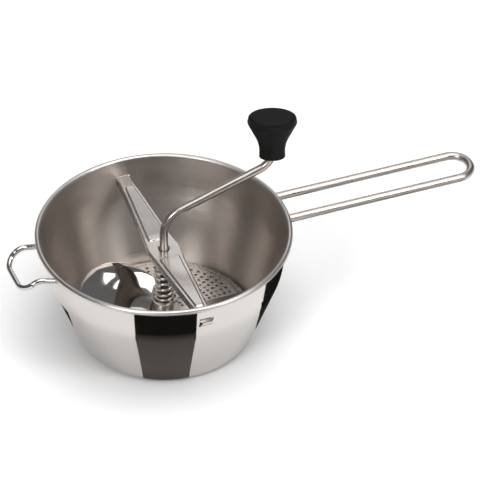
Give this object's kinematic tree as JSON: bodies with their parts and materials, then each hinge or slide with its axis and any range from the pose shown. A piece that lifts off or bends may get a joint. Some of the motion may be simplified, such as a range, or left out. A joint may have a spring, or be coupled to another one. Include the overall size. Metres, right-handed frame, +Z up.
{
  "type": "rotary food mill",
  "caption": "Conical steel bowl with a rod handle and helper loop; a crank turns a sprung helical blade that presses food through a perforated disc.",
  "frame": {"origin": "centre of the foot ring, on the bowl's axis, in the plane of the table", "axes": "+X along the long handle, Y along the crossbar, +Z up through the rim"},
  "size_m": [0.387, 0.2, 0.1823],
  "materials": {
    "mirror_steel": "mirror polished",
    "satin_steel": "satin drawn",
    "pressed_steel": "pressed, half bright",
    "black_plastic": "fine matte"
  },
  "bodies": {
    "bowl_assembly": {"bowl": "mirror_steel", "long_handle": "satin_steel", "helper_handle": "mirror_steel", "crossbar": "pressed_steel", "spring_top_washer": "pressed_steel", "pressure_spring": "satin_steel", "sieve_disc": "pressed_steel"},
    "spring_follower": {"spring_seat": "pressed_steel"},
    "crank": {"crank_rod": "satin_steel", "blade_hub": "satin_steel", "drive_pin": "satin_steel", "pressing_blade": "mirror_steel", "push_nut": "pressed_steel"},
    "knob": {"knob_body": "black_plastic", "knob_cap": "black_plastic"}
  },
  "joints": [
    {"name": "blade_lift", "type": "slide", "parent": "bowl_assembly", "child": "spring_follower", "axis": [0, 0, 1], "range_m": [0, 0.006], "stiffness_N_per_m": 16800, "springref_m": -0.003, "deforming": ["pressure_spring"]},
    {"name": "crank_turn", "type": "hinge", "parent": "spring_follower", "child": "crank", "pos_m": [0, 0, 0.05], "axis": [0, 0, 1], "continuous": true},
    {"name": "knob_turn", "type": "hinge", "parent": "crank", "child": "knob", "pos_m": [0.09, 0, 0.16], "axis": [0, 0, 1], "continuous": true}
  ]
}
